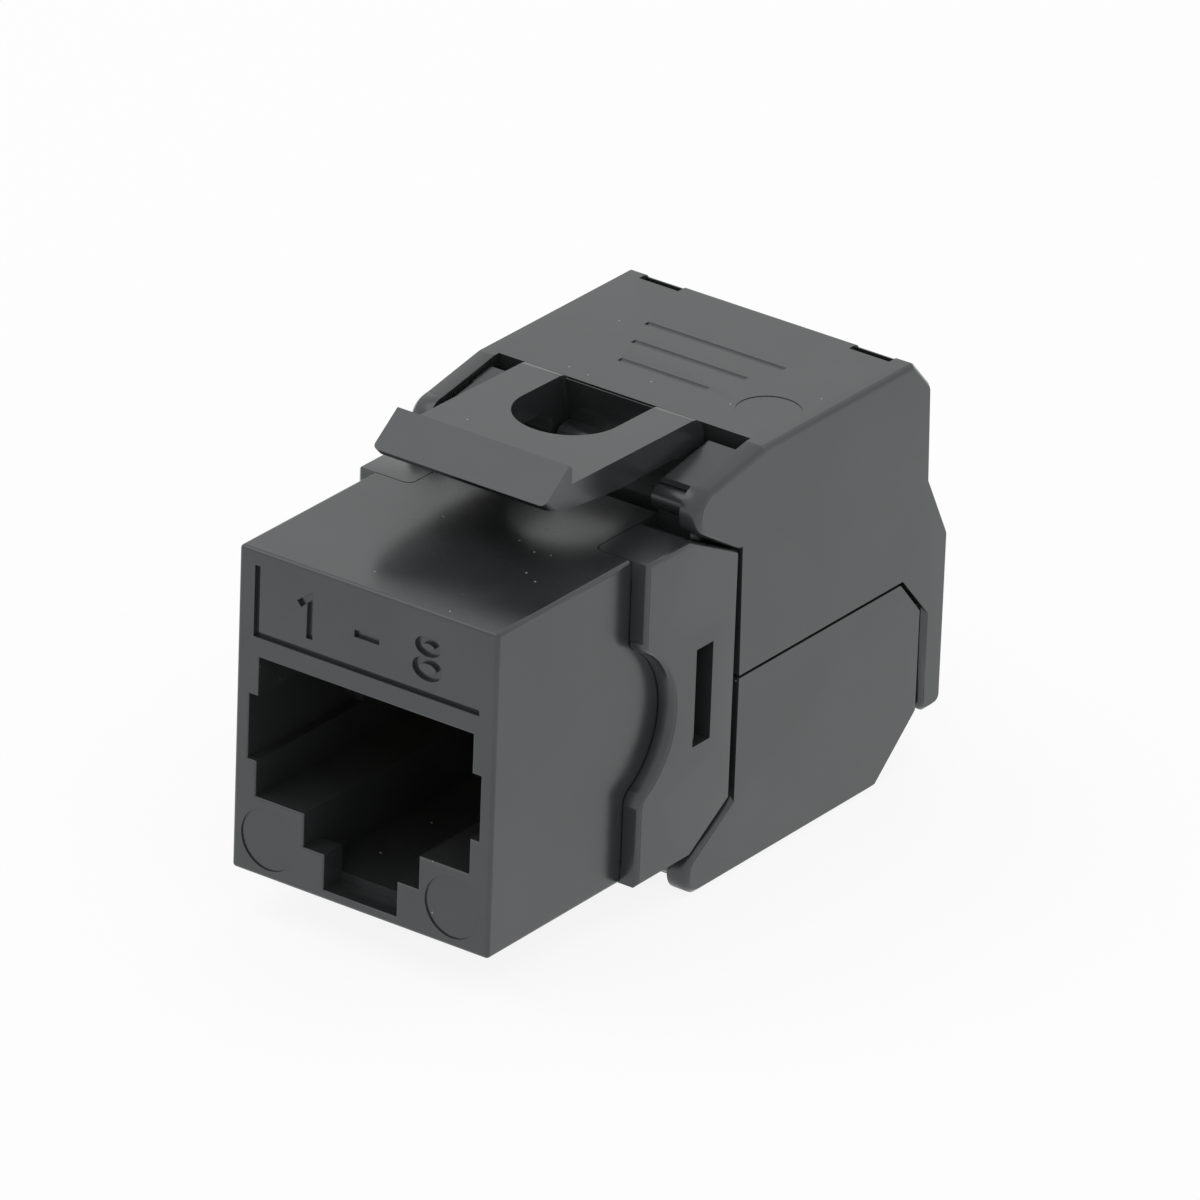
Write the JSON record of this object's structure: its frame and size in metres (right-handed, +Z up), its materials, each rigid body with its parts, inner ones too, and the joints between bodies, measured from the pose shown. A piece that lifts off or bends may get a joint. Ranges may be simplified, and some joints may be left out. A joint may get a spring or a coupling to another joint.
{
  "type": "keystone jack",
  "caption": "Snap-in network jack with a modular port, a flexing panel lever and two hinged wings at the rear that press the wires into their blades.",
  "frame": {"origin": "under the middle of the jack, on the surface that its lower wing lies on", "axes": "+X to the right seen from the port, +Y from the port to the cable end, +Z up towards the lever"},
  "size_m": [0.0164, 0.034, 0.0228],
  "materials": {
    "housing": "satin moulded black",
    "carrier": "matt moulded black",
    "board": "green solder mask",
    "block": "matt moulded black",
    "manager": "matt moulded black",
    "spring_wire": "gold plated",
    "blade": "tin plated"
  },
  "bodies": {
    "body": {"front_housing": "housing", "rear_housing": "housing", "contact_carrier": "carrier", "port_contact_1": "spring_wire", "port_contact_2": "spring_wire", "port_contact_3": "spring_wire", "port_contact_4": "spring_wire", "port_contact_5": "spring_wire", "port_contact_6": "spring_wire", "port_contact_7": "spring_wire", "port_contact_8": "spring_wire", "circuit_board": "board", "upper_wire_block": "block", "lower_wire_block": "block", "upper_blade_1": "blade", "upper_blade_2": "blade", "upper_blade_3": "blade", "upper_blade_4": "blade", "lower_blade_1": "blade", "lower_blade_2": "blade", "lower_blade_3": "blade", "lower_blade_4": "blade", "wire_manager": "manager"},
    "lever": {"latch_lever": "housing"},
    "upper": {"upper_wing": "housing"},
    "lower": {"lower_wing": "housing"}
  },
  "joints": [
    {"name": "lever_flex", "type": "hinge", "parent": "body", "child": "lever", "pos_m": [0, 0.0009, 0.0191], "axis": [1, 0, 0], "range_deg": [0, 6.5], "stiffness_Nm_per_rad": 0.2},
    {"name": "upper_wing_hinge", "type": "hinge", "parent": "body", "child": "upper", "pos_m": [0, -0.00205, 0.01915], "axis": [1, 0, 0], "range_deg": [0, 90]},
    {"name": "lower_wing_hinge", "type": "hinge", "parent": "body", "child": "lower", "pos_m": [0, -0.002, 0.0011], "axis": [1, 0, 0], "range_deg": [-90, 0]}
  ],
  "couplings": [
    {"joint": "lower_wing_hinge", "follows": "upper_wing_hinge", "ratio": -1}
  ]
}
